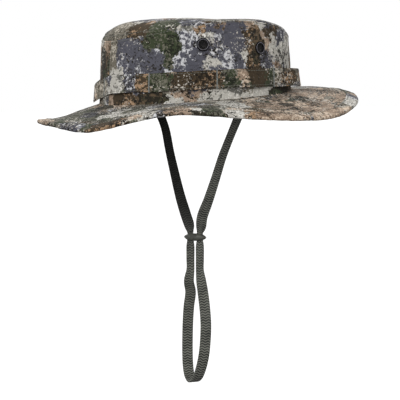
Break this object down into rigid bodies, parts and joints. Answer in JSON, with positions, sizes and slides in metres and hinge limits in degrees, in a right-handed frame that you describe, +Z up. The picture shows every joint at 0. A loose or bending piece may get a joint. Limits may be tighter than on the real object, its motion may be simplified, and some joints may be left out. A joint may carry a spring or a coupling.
{
  "type": "boonie hat",
  "caption": "Soft wide-brimmed field hat with vented crown, branch-loop band, curled stitched brim, and a flat braided chin strap gathered by a sliding keeper.",
  "frame": {"origin": "middle of the head opening, at the seam between crown and brim", "axes": "+X to the front of the hat, +Y to its left side, +Z up through the crown; the chin strap hangs along -Z"},
  "size_m": [0.3343, 0.3044, 0.3719],
  "materials": {
    "crown_cloth": "printed ripstop cotton, slate, off-white, green and brown",
    "brim_cloth": "printed cotton, same print",
    "under_cloth": "printed cotton, same print",
    "binding_cloth": "printed bias strip, stitched",
    "band_cloth": "printed cotton band, brown and green",
    "lining_tape": "woven tape",
    "sweatband_cloth": "plain cotton twill",
    "interlining": "non-woven stiffening",
    "thread": "polyester thread",
    "eyelet_metal": "black enamel",
    "vent_mesh": "black woven wire mesh",
    "anchor_cloth": "folded cotton patch",
    "strap_braid": "flat herringbone braid",
    "keeper_leather": "soft matt leather"
  },
  "bodies": {
    "hat": {"crown_tip": "crown_cloth", "crown_side_left": "crown_cloth", "crown_side_right": "crown_cloth", "tip_seam_tape": "lining_tape", "front_seam_tape": "lining_tape", "rear_seam_tape": "lining_tape", "sweatband": "sweatband_cloth", "brim_upper": "brim_cloth", "brim_interlining": "interlining", "brim_lower": "under_cloth", "brim_binding": "binding_cloth", "foliage_band": "band_cloth", "bartacks": "thread", "eyelet_left_front": "eyelet_metal", "eyelet_left_rear": "eyelet_metal", "eyelet_right_front": "eyelet_metal", "eyelet_right_rear": "eyelet_metal", "washer_left_front": "eyelet_metal", "washer_left_rear": "eyelet_metal", "washer_right_front": "eyelet_metal", "washer_right_rear": "eyelet_metal", "mesh_left_front": "vent_mesh", "mesh_left_rear": "vent_mesh", "mesh_right_front": "vent_mesh", "mesh_right_rear": "vent_mesh", "strap_anchor_left": "anchor_cloth", "strap_anchor_right": "anchor_cloth"},
    "chin_strap": {"chin_strap": "strap_braid"},
    "keeper": {"keeper": "keeper_leather"}
  },
  "joints": [
    {"name": "chin_strap_swing", "type": "hinge", "parent": "hat", "child": "chin_strap", "pos_m": [-0.002, 0, -0.0054], "axis": [0, 1, 0], "range_deg": [-60, 60]},
    {"name": "keeper_slide", "type": "slide", "parent": "chin_strap", "child": "keeper", "axis": [0, 0, 1], "range_m": [-0.03, 0]}
  ]
}
